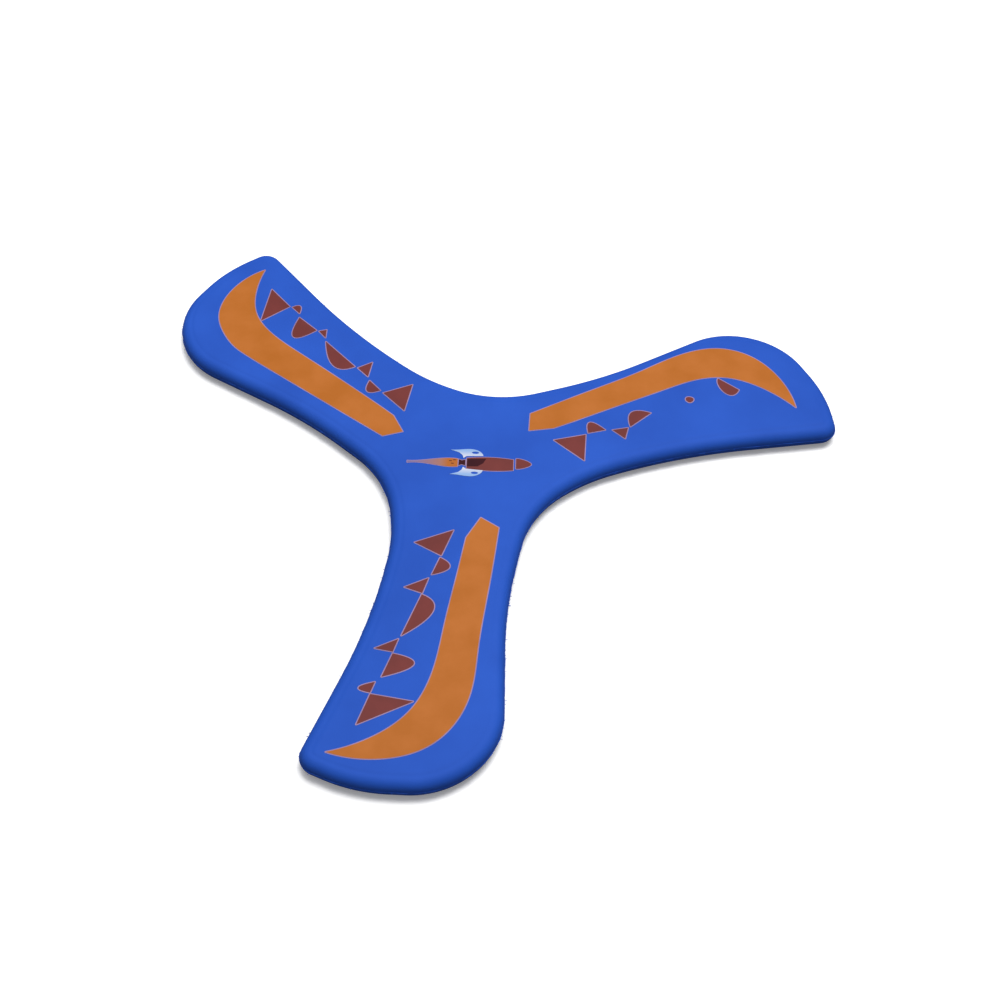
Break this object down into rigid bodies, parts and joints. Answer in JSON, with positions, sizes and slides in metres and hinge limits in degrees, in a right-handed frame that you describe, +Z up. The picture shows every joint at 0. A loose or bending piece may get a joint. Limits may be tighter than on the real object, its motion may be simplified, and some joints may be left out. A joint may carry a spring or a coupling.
{
  "type": "boomerang",
  "caption": "Soft throwing boomerang with equal curved blades: a foam core bonded between fabric covers, with a heat-transferred print on one face.",
  "frame": {"origin": "centre of the three-fold outline, on the flat underside that it rests on", "axes": "+Z up through the printed face; +X the way the printed rocket points; the three blades point 98 degrees clockwise, 22 degrees anticlockwise and 142 degrees anticlockwise from +X"},
  "size_m": [0.2716, 0.2621, 0.0091],
  "materials": {
    "foam": "matte",
    "glue_film": "satin",
    "cover_fabric": "matte",
    "base_coat": "matte",
    "orange_ink": "matte",
    "maroon_ink": "matte",
    "flame_ink": "matte",
    "brown_ink": "matte",
    "white_ink": "matte"
  },
  "bodies": {
    "root": {"foam_core": "foam", "top_glue_film": "glue_film", "bottom_glue_film": "glue_film", "top_cover": "cover_fabric", "bottom_cover": "cover_fabric", "print_base_near": "base_coat", "stripe_near": "orange_ink", "chain_near": "maroon_ink", "print_base_right": "base_coat", "stripe_right": "orange_ink", "chain_right": "maroon_ink", "print_base_left": "base_coat", "stripe_left": "orange_ink", "chain_left": "maroon_ink", "print_base_rocket": "base_coat", "rocket_flame": "flame_ink", "rocket_nozzle": "brown_ink", "rocket_tail": "brown_ink", "rocket_body": "maroon_ink", "rocket_nose": "maroon_ink", "rocket_fins": "white_ink"}
  },
  "joints": []
}
